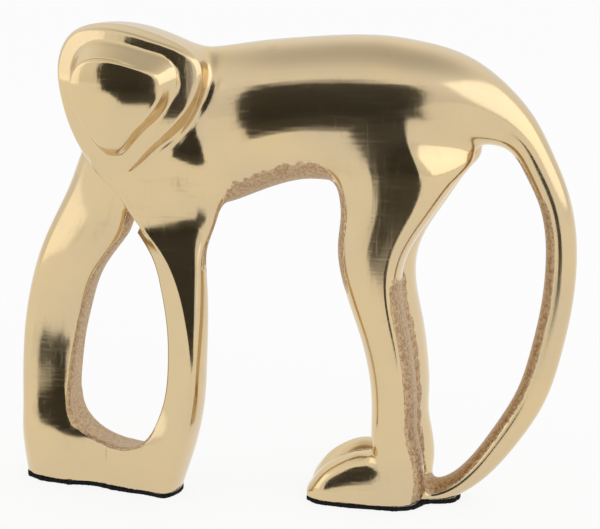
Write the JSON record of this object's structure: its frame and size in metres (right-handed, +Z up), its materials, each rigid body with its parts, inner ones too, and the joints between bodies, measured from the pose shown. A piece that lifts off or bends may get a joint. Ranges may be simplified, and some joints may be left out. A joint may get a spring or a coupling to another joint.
{
  "type": "monkey figurine",
  "caption": "Cast monkey figurine standing on joined hands and paired hind feet, its face a tiered rounded triangle and its long tail curving back down to the heels.",
  "frame": {"origin": "middle of the rear felt pad's underside, below the hind legs", "axes": "+X along the body towards the tail, +Z up, -Y towards the side that the face looks to"},
  "size_m": [0.2468, 0.0608, 0.2086],
  "materials": {
    "polished_casting": "hand-polished outside faces with fine brush lines, as-cast grainy inner walls",
    "black_felt": "pressed felt",
    "adhesive": "thin translucent self-adhesive film"
  },
  "bodies": {
    "root": {"monkey_casting": "polished_casting", "front_felt_pad": "black_felt", "rear_felt_pad": "black_felt", "front_adhesive_film": "adhesive", "rear_adhesive_film": "adhesive"}
  },
  "joints": []
}
